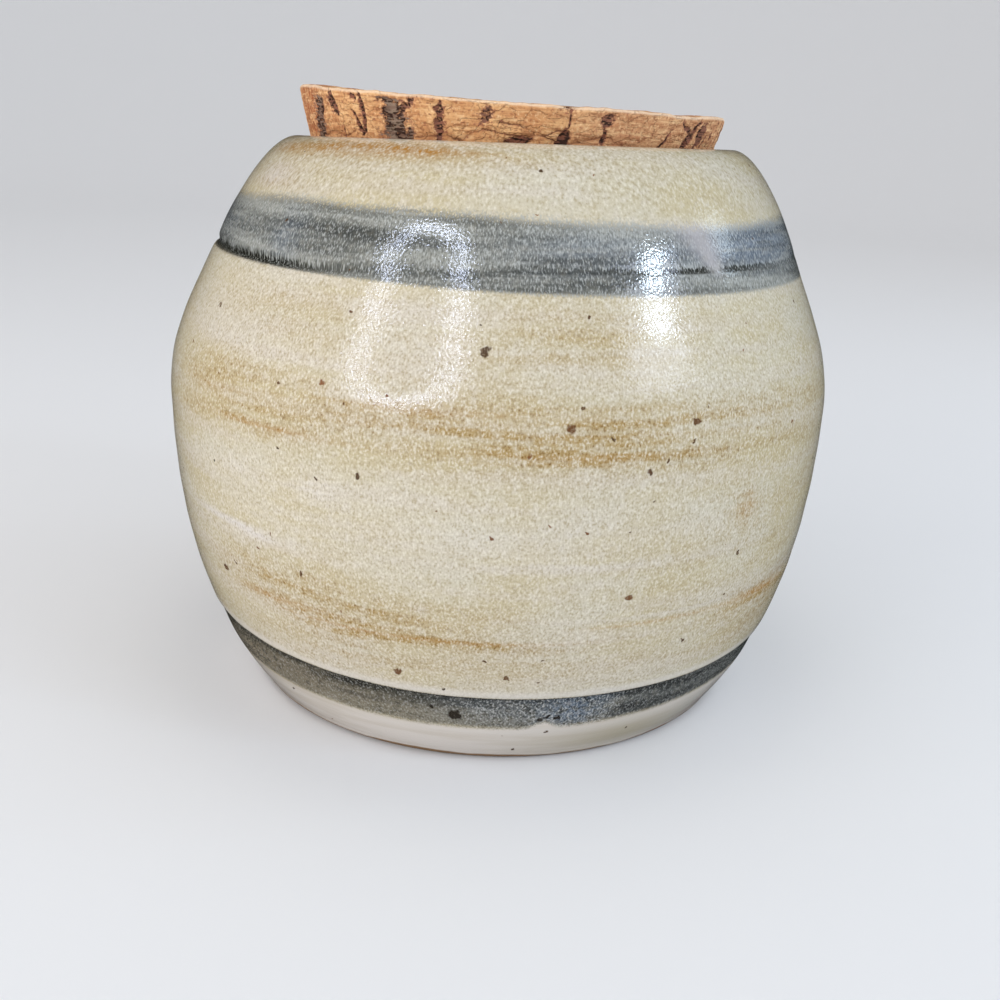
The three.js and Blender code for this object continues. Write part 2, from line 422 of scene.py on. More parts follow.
def lattice_noise(points, size, seed):
    """Smooth noise from -1 to 1: random values on a lattice of that size, blended between its corners."""
    values = np.random.default_rng(seed).uniform(-1, 1, LATTICE_VALUES)
    cell = np.asarray(points) / size
    corner = np.floor(cell).astype(np.int64)
    part = cell - corner
    part = part * part * (3 - 2 * part)
    total = np.zeros(cell.shape[:-1])
    for step in itertools.product((0, 1), repeat=3):
        x, y, z = np.moveaxis((corner + np.array(step)) * np.array(LATTICE_PRIMES), -1, 0)
        weight = np.prod(np.where(np.array(step) == 1, part, 1 - part), axis=-1)
        total += weight * values[(x ^ y ^ z) % LATTICE_VALUES]
    return total


def waves(points, layers):
    """Smooth unevenness, from layers of noise that each have a depth, a size and a seed."""
    return sum(depth * lattice_noise(points, size, seed) for depth, size, seed in layers)


def turned(azimuth_deg, radius, height):
    """Points at an azimuth, a radius and a height, before any lean."""
    turn = np.radians(azimuth_deg)
    return np.stack(np.broadcast_arrays(radius * np.sin(turn), -radius * np.cos(turn), height), axis=-1)


def apart(azimuth_deg, other_deg):
    """Turn from one azimuth to another, from -180 to 180 degrees."""
    return (azimuth_deg - other_deg + 180) % 360 - 180


def add_mesh(name, points, faces):
    """A smooth mesh in the scene, from points in millimetres."""
    mesh = bpy.data.meshes.new(name)
    mesh.from_pydata((points * METRES).tolist(), [], faces)
    mesh.shade_smooth()
    piece = bpy.data.objects.new(name, mesh)
    bpy.context.scene.collection.objects.link(piece)
    return piece


def ring_mesh(name, rings, low_pole, high_pole, fields):
    """A closed skin over rings of points, each ring joined to the next, with a point that closes each end."""
    rows, sides, _ = rings.shape
    row, side = np.meshgrid(np.arange(rows - 1), np.arange(sides), indexing="ij")
    here = row * sides + side
    beside = row * sides + (side + 1) % sides
    faces = np.stack([here, beside, beside + sides, here + sides], axis=-1).reshape(-1, 4).tolist()
    low, high = rows * sides, rows * sides + 1
    last = (rows - 1) * sides
    for k in range(sides):
        after = (k + 1) % sides
        faces.append((low, after, k))
        faces.append((high, last + k, last + after))
    piece = add_mesh(name, np.concatenate([rings.reshape(-1, 3), [low_pole, high_pole]]), faces)
    for field, values in fields.items():
        ends = [values[0].mean(), values[-1].mean()]
        layer = piece.data.attributes.new(field, "FLOAT", "POINT")
        layer.data.foreach_set("value", np.concatenate([values.ravel(), ends]).astype(np.float32))
    return piece


# Jar: outline, marks and relief
def wall_outline():
    lower = bezier(FOOT, along(FOOT, FOOT_FLARE_DEG, FOOT_PULL), along(BELLY, -90, BELLY_PULL_DOWN), BELLY)
    below = along(SHOULDER, SHOULDER_SLOPE_DEG - 90, SHOULDER_PULL_DOWN)
    upper = bezier(BELLY, along(BELLY, 90, BELLY_PULL_UP), below, SHOULDER)
    above = along(SHOULDER, SHOULDER_SLOPE_DEG + 90, SHOULDER_PULL_UP)
    rim = bezier(SHOULDER, above, along(CREST, 0, RIM_PULL), CREST)
    return np.concatenate([lower, upper[1:], rim[1:]])


WALL = wall_outline()


def lean_and_tilt(points):
    """The wheel leaves the wall bowed, with the rim out of level."""
    height = points[..., 2]
    above = np.maximum(0, height - BELLY[1]) / (CREST[1] - BELLY[1])
    below = np.maximum(0, BELLY[1] - height) / BELLY[1]
    rise = RIM_TILT * points[..., 0] * (height / CREST[1]) ** 2
    moved = points.copy()
    moved[..., 0] += RIM_LEAN * above**2 + FOOT_LEAN * below**2
    moved[..., 2] += rise
    return moved


def wall_point(azimuth_deg, height):
    radius = np.interp(height, WALL[:, 1], WALL[:, 0])
    return lean_and_tilt(turned(azimuth_deg, radius, height))


def edge_height(azimuth_deg, edge):
    mean, lean, lean_at, wave, wave_at = edge
    turn = np.radians(azimuth_deg)
    tilted = lean * np.cos(turn - math.radians(lean_at))
    return mean + tilted + wave * np.cos(2 * (turn - math.radians(wave_at)))


def foot_low_edge(azimuth_deg):
    at, half_width, rise = FOOT_NOTCH
    return edge_height(azimuth_deg, FOOT_LOW_EDGE) + rise * bell(apart(azimuth_deg, at) / half_width)


def incised_line(azimuth_deg):
    """Height of the incised line, how strong it is there, and what share of its length that is."""
    along_line = ((azimuth_deg - LINE_START_DEG) % 360) / LINE_TURN_DEG
    height = LINE_HEIGHT - LINE_DROP * along_line - LINE_HOOK * along_line**LINE_HOOK_POWER
    strength = smoothstep(*LINE_FADE_IN, along_line) * (1 - smoothstep(*LINE_FADE_OUT, along_line))
    return height, strength, along_line


def soft_spots(azimuth_deg, height, spots):
    """Sum of soft oval spots on the wall, at most 1."""
    total = np.zeros(np.broadcast(azimuth_deg, height).shape)
    for at, up, half_width, half_height, strength in spots:
        across = bell(apart(azimuth_deg, at) / half_width)
        total += strength * across * bell((height - up) / half_height)
    return np.minimum(total, 1)


def round_the_back(spots):
    """The same spots once more on the unseen side, shuffled a little."""
    copies = []
    for at, up, half_width, half_height, strength in spots:
        shift = BACK_RANDOM.uniform(-BACK_SHUFFLE_DEG, BACK_SHUFFLE_DEG)
        lift = BACK_RANDOM.uniform(-BACK_SHUFFLE, BACK_SHUFFLE)
        opposite = 180 + at * BACK_SPREAD + shift
        copies.append((opposite, up + lift, half_width * BACK_SPREAD, half_height, strength))
    return spots + copies


def all_specks():
    """Middle, radius and shade of every speck on the wall."""
    draw = np.random.default_rng(SPECK_SEED)
    smallest, largest = SPECK_SIZES
    spots = list(SPECKS)
    middles = [wall_point(np.array(spot[0]), np.array(spot[1])) for spot in spots]
    while len(spots) < len(SPECKS) + MORE_SPECKS:
        size = smallest + (largest - smallest) * draw.uniform() ** 2
        spot = (draw.uniform(-180, 180), draw.uniform(*SPECK_HEIGHTS), size, draw.uniform())
        middle = wall_point(np.array(spot[0]), np.array(spot[1]))
        if np.linalg.norm(np.array(middles) - middle, axis=1).min() > SPECK_SPACING:
            spots.append(spot)
            middles.append(middle)
    spots = np.array(spots)
    return np.array(middles), spots[:, 2], spots[:, 3]


def speck_fields(rings):
    """The speck nearest to each point: how far its edge is, its middle, its radius and its shade."""
    middles, radii, shades = all_specks()
    gap = np.full(rings.shape[:-1], np.inf)
    nearest = np.zeros(rings.shape[:-1], int)
    for index, (middle, radius) in enumerate(zip(middles, radii)):
        off = np.linalg.norm(rings - middle, axis=-1) - radius
        nearest = np.where(off < gap, index, nearest)
        gap = np.minimum(gap, off)
    fields = {"speck_gap": gap, "speck_radius": radii[nearest], "speck_shade": shades[nearest]}
    for axis, name in enumerate("xyz"):
        fields["speck_" + name] = middles[nearest][..., axis]
    return fields


def wall_relief(azimuth_deg, height, points):
    """How far the wall stands out of its plain outline."""
    body = smoothstep(*UNEVEN_FROM, height) * (1 - smoothstep(*UNEVEN_TO, height))
    ridge = np.sin(2 * np.pi * (height / RIDGE_PITCH - azimuth_deg / 360))
    ridge *= RIDGE_DEPTH * (1 + lattice_noise(points, RIDGE_PATCH, 1))
    line, strength, along_line = incised_line(azimuth_deg)
    groove = strength * np.interp(along_line**2, (0, 1), LINE_DEPTH) * bell((height - line) / LINE_HALF_WIDTH)
    below = edge_height(azimuth_deg, FOOT_TOP_EDGE) - height
    step = STEP_DEPTH * smoothstep(0, STEP_RISE, below) * (1 - smoothstep(STEP_RISE, STEP_FADE, below))
    score = soft_spots(azimuth_deg, height, [SCORE])
    return body * (ridge + waves(points, WALL_WAVES)) + waves(points, GLAZE_WAVES) - groove - step - score


# The stopper's own frame has its axis upright and its top face at 0
CORK_TURN = np.array(Matrix.Rotation(CORK_TILT_FORWARD, 3, "X") @ Matrix.Rotation(CORK_TILT_RIGHT, 3, "Y"))


def to_cork(points):
    return (points - np.array(CORK_TOP)) @ CORK_TURN


def from_cork(points):
    return points @ CORK_TURN.T + np.array(CORK_TOP)


def clear_of_cork(points):
    """Pushes the mouth out to where the stopper presses it."""
    local = to_cork(points)
    needed = CORK_RADIUS + local[..., 2] * CORK_TAPER + CORK_CLEARANCE
    radius = np.hypot(local[..., 0], local[..., 1])
    local[..., :2] *= np.maximum(1, needed / radius)[..., None]
    return from_cork(local)


def jar_rows():
    """Radius and height of each ring from the base to the lip, and which of them are wall."""
    foot_edge = FOOT[0] - FOOT_BEVEL
    radius = np.linspace(JAR_POLE, foot_edge, BASE_RINGS)
    base = np.stack([radius, BASE_RIPPLE * (1 + np.cos(2 * np.pi * radius / BASE_RIPPLE_PITCH))], axis=1)
    base[-1, 1] = 0
    bevel_width = np.interp(FOOT_BEVEL, WALL[:, 1], WALL[:, 0]) - foot_edge
    turn = np.linspace(0, np.pi / 2, BEVEL_STEPS + 1)[1:-1]
    bevel = np.stack([foot_edge + bevel_width * np.sin(turn), FOOT_BEVEL * (1 - np.cos(turn))], axis=1)
    wall = evenly(WALL[WALL[:, 1] >= FOOT_BEVEL], JAR_ROW)
    turn = np.linspace(0, np.pi / 2, LIP_STEPS + 1)[1:]
    lip = np.stack([CREST[0] - LIP_WIDTH * np.sin(turn), CREST[1] - LIP_DEPTH * (1 - np.cos(turn))], axis=1)
    rows = np.concatenate([base, bevel, wall, lip])
    is_wall = np.zeros(len(rows))
    is_wall[len(base) + len(bevel) : len(rows) - len(lip)] = 1
    return rows, is_wall


def outward(rows):
    """Unit normal of each row of an outline."""
    way = np.gradient(rows, axis=0)
    normal = np.stack([way[:, 1], -way[:, 0]], axis=1)
    return normal / np.linalg.norm(normal, axis=1)[:, None]


def jar_skin(rows, is_wall, turn, height):
    """Rings of the outside from the base to the lip, with their relief."""
    relief = is_wall[:, None] * wall_relief(turn, height, turned(turn, rows[:, :1], height))
    normal = outward(rows)
    points = turned(turn, rows[:, :1] + relief * normal[:, :1], height + relief * normal[:, 1:])
    points = lean_and_tilt(points)
    lip_start = int(np.nonzero(is_wall)[0][-1])
    points[lip_start:] = clear_of_cork(points[lip_start:])
    return points


def jar_seat(azimuth, mouth):
    """Rings of the stopper's seat from the mouth down, and the middle of its floor."""
    floor_height = -CORK_THICKNESS - SEAT_GAP
    floor_radius = CORK_RADIUS - CORK_THICKNESS * CORK_TAPER + CORK_CLEARANCE
    floor_edge = from_cork(turned(azimuth, floor_radius, floor_height))
    floor_middle = from_cork(np.array([0, 0, floor_height]))
    share = np.linspace(0, 1, SEAT_RINGS + 1)[1:, None, None]
    side = mouth * (1 - share) + floor_edge * share
    return np.concatenate([side, [(floor_edge + floor_middle) / 2]]), floor_middle


def jar_fields(turn, height, rings):
    """What the glaze goes by at each point: how far inside each edge it is, and how strong each mark is."""
    line, strength, along_line = incised_line(turn)
    worn_at, worn_length, worn_share = LINE_WORN
    darkness = LINE_FAINT + (1 - LINE_FAINT) * smoothstep(*LINE_DARKENS, along_line)
    darkness *= 1 - worn_share * bell((along_line - worn_at) / worn_length)
    seam_foot, seam_head = SHOULDER_LOW_EDGE[0], SHOULDER_TOP_EDGE[0]
    off_seam = apart(turn, SEAM_DEG + SEAM_SLANT * (height - seam_foot))
    off_seam /= np.interp(height, (seam_foot, seam_head), SEAM_HALF_WIDTHS)
    overlap = apart(turn, OVERLAP_DEG + OVERLAP_SLANT * (height - OVERLAP_HEIGHT))
    overlap_end = smoothstep(OVERLAP_END_DEG - OVERLAP_FADE_DEG, OVERLAP_END_DEG, turn)
    fields = {
        "height": height,
        "shoulder_top": edge_height(turn, SHOULDER_TOP_EDGE) - height,
        "shoulder_low": height - edge_height(turn, SHOULDER_LOW_EDGE),
        "foot_top": edge_height(turn, FOOT_TOP_EDGE) - height,
        "foot_low": height - foot_low_edge(turn),
        "line_off": (height - line) / np.interp(along_line, LINE_WIDENS, LINE_FRINGE),
        "line_strength": strength * darkness,
        "seam": bell(off_seam),
        "overlap": smoothstep(*OVERLAP_EDGE, overlap) * (1 - overlap_end),
        **speck_fields(rings),
    }
    all_spots = {"blush_and_shade": BLUSHES_AND_SHADE, "rust": RUSTS, "pale": PALES, "shade": SHADES, "cool": COOLS}
    for name, spots in all_spots.items():
        fields[name] = soft_spots(turn, height, round_the_back(spots))
    return fields


def make_jar():
    rows, is_wall = jar_rows()
    azimuth = np.arange(JAR_SIDES) * 360 / JAR_SIDES
    turn = np.broadcast_to(azimuth, (len(rows), JAR_SIDES))
    height = np.broadcast_to(rows[:, 1:], turn.shape)
    skin = jar_skin(rows, is_wall, turn, height)
    seat, seat_middle = jar_seat(azimuth, skin[-1])
    rings = np.concatenate([skin, seat])
    height = np.concatenate([height, np.full((len(seat), JAR_SIDES), rows[-1, 1])])
    turn = np.broadcast_to(azimuth, height.shape)
    fields = jar_fields(turn, height, rings)
    return ring_mesh("glazed_jar", rings, (0, 0, 2 * BASE_RIPPLE), seat_middle, fields)


# Stopper: a slice of bark with its lenticels and cracks in relief
def lenticel_marks(azimuth_deg, depth, radius, noise):
    """How deep inside a lenticel each point of the side is, from 0 to 1, and how grey that lenticel is."""
    dark = np.zeros(azimuth_deg.shape)
    grey = np.zeros(azimuth_deg.shape)
    for top_at, bottom_at, top, bottom, half_width, darkness, greyness in LENTICELS + hidden_lenticels():
        share = np.clip((depth - top) / (bottom - top), 0, 1)
        centre = top_at + (bottom_at - top_at) * share
        across = np.radians(apart(azimuth_deg, centre)) * radius + (0.5 * half_width + 0.25) * noise
        width = half_width * (0.75 + 0.35 * np.sin(np.pi * share))
        inside = 1 - smoothstep(0.25, 1.45, np.abs(across) / width)
        ends = smoothstep(top - 0.5, top + 0.4, depth) * (1 - smoothstep(bottom - 0.7, bottom + 0.4, depth))
        mark = inside * ends
        grey = np.where(mark * darkness > dark, greyness, grey)
        dark = np.maximum(dark, mark * darkness)
    return dark, grey


def hidden_lenticels():
    draw = np.random.default_rng(HIDDEN_SEED)
    found = []
    for _ in range(HIDDEN_LENTICELS):
        top_at = draw.uniform(*HIDDEN_AZIMUTHS)
        top = draw.choice([0.4, draw.uniform(0.4, 5)])
        bottom = top + draw.uniform(2.5, 9)
        half_width = draw.choice(HIDDEN_HALF_WIDTHS)
        bottom_at = top_at + draw.uniform(-3, 3)
        darkness = draw.uniform(0.6, 1)
        greyness = draw.uniform(0, 0.6)
        found.append((top_at, bottom_at, top, bottom, half_width, darkness, greyness))
    return found


def crack_distance(azimuth_deg, depth):
    """How far each point of the side is below the nearest crack."""
    nearest = np.full(azimuth_deg.shape, NO_CRACK)
    for points in CRACKS:
        at, down = np.array(points).T
        along_it = (azimuth_deg - at[0]) % 360 + at[0]
        off = np.where(along_it <= at[-1], depth - np.interp(along_it, at, down), NO_CRACK)
        nearest = np.where(np.abs(off) < np.abs(nearest), off, nearest)
    return nearest


def top_pores(points):
    """Lenticels cut across in the top face: small round and oval pits."""
    draw = np.random.default_rng(PORE_SEED)
    dark = np.zeros(points.shape[:-1])
    for _ in range(TOP_PORES):
        reach = (CORK_RADIUS - 1.5) * math.sqrt(draw.uniform(0, 1))
        turn = draw.uniform(0, 2 * math.pi)
        size = draw.choice(PORE_SIZES, p=PORE_SHARES)
        stretch = draw.uniform(1, 2.6)
        lean = draw.normal(0.4, 0.35)
        offset = points[..., :2] - reach * np.array([math.sin(turn), math.cos(turn)])
        along_it = offset @ np.array([math.cos(lean), math.sin(lean)]) / stretch
        across_it = offset @ np.array([-math.sin(lean), math.cos(lean)])
        mark = 1 - smoothstep(0.5, 1.2, np.hypot(along_it, across_it) / size)
        dark = np.maximum(dark, mark * draw.uniform(0.5, 1))
    return dark


def cork_rows():
    """Radius and depth of each ring from bottom to top, and which rings are in the side or the top."""
    bottom = CORK_RADIUS - CORK_THICKNESS * CORK_TAPER
    radius = np.linspace(CORK_POLE, bottom - CORK_ARRIS, CORK_UNDER_RINGS)
    under = np.stack([radius, np.full(CORK_UNDER_RINGS, CORK_THICKNESS)], axis=1)
    hidden = np.linspace(CORK_THICKNESS - CORK_ARRIS, CORK_SEEN, CORK_HIDDEN_ROWS + 1)[:-1]
    seen = np.linspace(CORK_SEEN, CORK_ARRIS, int((CORK_SEEN - CORK_ARRIS) / CORK_ROW))
    depth = np.concatenate([hidden, seen])
    side = np.stack([CORK_RADIUS - depth * CORK_TAPER, depth], axis=1)
    corner = CORK_RADIUS - CORK_ARRIS
    turn = np.linspace(0, np.pi / 2, CORK_ARRIS_STEPS + 1)[1:-1]
    arris = np.stack([corner + CORK_ARRIS * np.cos(turn) - 0.1, CORK_ARRIS * (1 - np.sin(turn))], axis=1)
    radius = np.arange(corner, CORK_POLE, -CORK_RING)
    top = np.stack([radius, np.zeros(len(radius))], axis=1)
    rows = np.concatenate([under, side, arris, top])
    is_top = np.zeros((len(rows), 1))
    is_top[-len(top) :] = 1
    is_side = 1 - is_top
    is_side[: len(under)] = 0
    return rows, is_side, is_top


def cork_edge(turn, depth, radius, plain):
    """How far the sawn top and its edge stand above a level cut."""
    at, stands = np.array(CORK_EDGE).T
    slow = np.interp(apart(turn, 100) + 100, at, stands) * smoothstep(0.5, 1, radius / CORK_RADIUS)
    edge = smoothstep(EDGE_DEPTH, 0, depth)
    fine = 0.14 * lattice_noise(plain * np.array([1, 1, 0]), 5, 11)
    fine += 0.1 * lattice_noise(plain, 1.6, 14) - 0.05
    return np.minimum(edge * fine, EDGE_LIFT) + edge * slow


def make_cork():
    rows, is_side, is_top = cork_rows()
    azimuth = np.arange(CORK_SIDES) * 360 / CORK_SIDES
    turn = np.broadcast_to(azimuth, (len(rows), CORK_SIDES))
    radius = np.broadcast_to(rows[:, :1], turn.shape)
    depth = np.broadcast_to(rows[:, 1:], turn.shape)
    plain = turned(turn, radius, -depth)

    ragged = lattice_noise(plain, 1.1, 5)
    grain = 0.08 * lattice_noise(plain * np.array([1, 1, 3]), 2.2, 6) + 0.05 * lattice_noise(plain, 0.9, 8)
    dark, grey = lenticel_marks(turn, depth, radius, ragged)
    pores = top_pores(plain)
    crack = crack_distance(turn, depth) + 0.3 * lattice_noise(plain, 1.6, 10)
    chip = bell(apart(turn, CHIP_DEG) / CHIP_HALF_DEG) * smoothstep(CHIP_DEPTH, 0.2, depth)
    carved = LENTICEL_REACH * dark * (0.7 + 0.5 * ragged)
    carved += CRACK_REACH * bell(crack / CRACK_HALF_WIDTH) + CHIP_REACH * chip

    inward = math.cos(math.atan(CORK_TAPER)) * is_side * (carved - grain)
    lift = (is_side + is_top) * cork_edge(turn, depth, radius, plain)
    sink = is_top * (0.9 * pores - 0.5 * grain)
    points = turned(turn, radius - inward, -depth + lift - sink)
    fields = {
        "pit": is_side * np.maximum(dark, 0.45 * chip) + is_top * pores,
        "grey": is_side * grey,
        "depth": depth,
        "crack": np.where(is_side > 0, crack, NO_CRACK),
        "top": np.broadcast_to(is_top, depth.shape),
        "dusky": smoothstep(6, 24, turn) * (1 - smoothstep(90, 110, turn)),
        "ruddy": smoothstep(14, 6, np.abs(apart(turn, -66))) + smoothstep(26, 12, np.abs(apart(turn, 140))),
    }
    low_pole = from_cork(np.array([0, 0, -CORK_THICKNESS]))
    high_pole = from_cork(np.array([0, 0, 0.0]))
    return ring_mesh("bark_cork_stopper", from_cork(points), low_pole, high_pole, fields)


# Materials
def srgb(red, green, blue):
    """A colour as it is read off a screen, from 0 to 255, in Blender's linear light."""
    linear = []
    for value in (red, green, blue):
        share = value / 255
        linear.append(share / 12.92 if share <= 0.04045 else ((share + 0.055) / 1.055) ** 2.4)
    return (*linear, 1.0)


# Colours of the oatmeal glaze. A pair is for where a texture or mark is low, and where it is high.
OATMEAL = srgb(208, 195, 160), srgb(214, 206, 184)
SPECKLE = srgb(190, 174, 138), srgb(226, 217, 202)
MILKY_STROKE = srgb(218, 208, 196)
# Thicker glaze, and painted highlights on throwing ridges
THICK_GLAZE_AND_RIDGE_HIGHLIGHT = srgb(226, 219, 212)
# Iron blushes, and painted shade where two of them stand
BLUSH_AND_SHADE = srgb(185, 159, 110)
GRAIN_LIGHT = srgb(240, 233, 216)
GRAIN_GAP = srgb(182, 167, 136), srgb(148, 119, 75)
RUST = srgb(180, 127, 58)
RUST_DOT = srgb(122, 84, 44)
# Colours of the shoulder band
SLATE = srgb(98, 100, 96), srgb(162, 163, 155)
SLATE_STREAK = srgb(66, 70, 69), srgb(186, 187, 180)
SLATE_FIBRE = srgb(44, 49, 51), srgb(206, 209, 206)
SLATE_BLUE = srgb(126, 144, 168)
# Darker brush strokes, and painted shade on the front of the band
SLATE_STROKE_AND_SHADE = srgb(50, 54, 55)
SEAM_GLAZE = srgb(198, 193, 194)
LINE_INK = srgb(33, 33, 25)
# Colours of the pale foot and of the band over it
UNDER = srgb(236, 228, 219), srgb(204, 190, 168)
UNDER_BLUSHED_AND_SHADE = srgb(186, 174, 144)
HALO = srgb(234, 228, 220)
COAL = srgb(70, 70, 64), srgb(142, 136, 119)
COAL_BLUSHED = srgb(82, 75, 61), srgb(136, 125, 106)
COAL_CLOUD = srgb(96, 88, 70)
COAL_STREAK = srgb(56, 55, 50)
COAL_BLUE = srgb(116, 132, 150)
SECOND_STROKE = srgb(66, 67, 65), srgb(104, 105, 101)
COAL_FLECK = srgb(164, 157, 142)
COAL_SPECKLE = srgb(48, 48, 44)
COAL_GRAIN_LIGHT = srgb(206, 206, 202)
# Pooled pigment and painted shade under the step at the band's top edge
COAL_GRAIN_DARK = srgb(36, 38, 38)
COAL_EDGE_POOL_AND_SHADE = srgb(40, 41, 37)
# Colours of the iron specks and of the bare clay
SPECK_INK = srgb(40, 32, 23), srgb(138, 82, 40)
SPECK_CRUST = srgb(146, 124, 96)
CLAY = srgb(118, 88, 58), srgb(168, 132, 92)
# Colours of the cork
CORK_TAN = srgb(211, 151, 100), srgb(234, 182, 126)
CORK_DUSKY = srgb(203, 148, 110)
CORK_RUDDY = srgb(172, 96, 54)
LAYER = srgb(252, 208, 154), srgb(180, 120, 78)
CRUMB = srgb(255, 216, 166), srgb(160, 102, 64)
WRINKLE = srgb(150, 94, 60)
CRACK_EDGE = srgb(170, 110, 70)
CRACK_DARK_AND_SHADE = srgb(100, 58, 38)
# The cracks' own darker colour, and painted shade down in them
PIT_EDGE = srgb(172, 110, 80)
PIT = srgb(142, 90, 70), srgb(142, 122, 104)
PIT_LAYER = srgb(112, 78, 66)
PIT_DEEP = srgb(42, 26, 22)
# Painted highlight where the rounded top edge of the stopper catches the light
ARRIS_HIGHLIGHT = srgb(254, 224, 190)
FLOOR_COLOUR = srgb(238, 238, 239)


class Shader:
    """A material's nodes, with one short call for each kind."""

    def __init__(self, name):
        self.material = bpy.data.materials.new(name)
        self.material.use_nodes = True
        self.nodes = self.material.node_tree.nodes
        self.links = self.material.node_tree.links
        self.surface = self.nodes["Principled BSDF"]
        self.place = self.scaled(self.nodes.new("ShaderNodeTexCoord").outputs["Object"], 1 / METRES)

    def feed(self, socket, value):
        if isinstance(value, bpy.types.NodeSocket):
            self.links.new(value, socket)
        else:
            socket.default_value = value

    def vector_math(self, operation, first, second):
        node = self.nodes.new("ShaderNodeVectorMath")
        node.operation = operation
        self.feed(node.inputs[0], first)
        self.feed(node.inputs[1], second)
        return node

    def stretched(self, vector, x, y, z):
        return self.vector_math("MULTIPLY", vector, (x, y, z)).outputs["Vector"]

    def scaled(self, vector, by):
        return self.stretched(vector, by, by, by)

    def distance(self, vector, point):
        return self.vector_math("DISTANCE", vector, point).outputs["Value"]

    def joined(self, x, y, z):
        node = self.nodes.new("ShaderNodeCombineXYZ")
        for socket, value in zip(node.inputs, (x, y, z)):
            self.feed(socket, value)
        return node.outputs["Vector"]

    def field(self, name):
        node = self.nodes.new("ShaderNodeAttribute")
        node.attribute_name = name
        return node.outputs["Fac"]

    def noise(self, vector, size, detail, output="Fac"):
        node = self.nodes.new("ShaderNodeTexNoise")
        self.feed(node.inputs["Vector"], vector)
        node.inputs["Scale"].default_value = 1 / size
        node.inputs["Detail"].default_value = detail
        return node.outputs[output]

    def math(self, operation, first, second=0.0, third=0.0):
        node = self.nodes.new("ShaderNodeMath")
        node.operation = operation
        self.feed(node.inputs[0], first)
        self.feed(node.inputs[1], second)
        self.feed(node.inputs[2], third)
        return node.outputs["Value"]

    def minus(self, first, second):
        return self.math("SUBTRACT", first, second)

    def plus_times(self, value, factor, more):
        """A value, and as much of another as the factor says."""
        return self.math("MULTIPLY_ADD", more, factor, value)

    def shifted(self, value, noise, reach):
        """A value moved up or down by noise, by as much as half the reach."""
        return self.plus_times(value, reach, self.minus(noise, 0.5))

    def rise(self, value, low, high, least=0.0, most=1.0):
        """Goes smoothly from least to most as the value goes from low to high."""
        node = self.nodes.new("ShaderNodeMapRange")
        node.interpolation_type = "SMOOTHSTEP"
        self.feed(node.inputs["Value"], value)
        for socket, number in zip(("From Min", "From Max", "To Min", "To Max"), (low, high, least, most)):
            self.feed(node.inputs[socket], number)
        return node.outputs["Result"]

    def times(self, *values):
        product = values[0]
        for value in values[1:]:
            product = self.math("MULTIPLY", product, value)
        return product

    def blend(self, amount, first, second):
        node = self.nodes.new("ShaderNodeMix")
        node.data_type = "RGBA"
        self.feed(node.inputs["Factor"], amount)
        self.feed(node.inputs[6], first)
        self.feed(node.inputs[7], second)
        return node.outputs[2]

    def mottled(self, colour, texture, tones, low, high):
        """Blends in one tone where a texture is low and one where it is high: from, to and how much."""
        for tone, (start, end, most) in zip(tones, (low, high)):
            colour = self.blend(self.rise(texture, start, end, 0, most), colour, tone)
        return colour

    def bump(self, height, depth):
        node = self.nodes.new("ShaderNodeBump")
        self.feed(node.inputs["Height"], height)
        node.inputs["Distance"].default_value = depth * METRES
        self.links.new(node.outputs["Normal"], self.surface.inputs["Normal"])


def glaze_noises(s):
    """Textures that several parts of the glaze share. The grain is drawn out into hairs near the rim."""
    level = s.stretched(s.place, 0.08, 0.08, 1)
    sand = s.noise(s.stretched(s.place, 1, 1, 0.7), 0.38, 3)
    hair = s.noise(s.stretched(s.place, 1, 1, 0.45), 0.5, 2)
    hairy = s.rise(s.field("height"), 99, 107, 0, 0.9)
    return SimpleNamespace(
        fibre=s.noise(s.stretched(s.place, 1, 1, 0.16), 0.28, 1),
        grain=s.plus_times(sand, hairy, s.minus(hair, sand)),
        speckle=s.noise(s.place, 1.4, 3),
        cloud=s.noise(s.stretched(s.place, 0.5, 0.5, 1), 11, 3),
        streak=s.noise(level, 1.7, 3),
        brush=s.noise(level, 3.2, 1.5),
    )


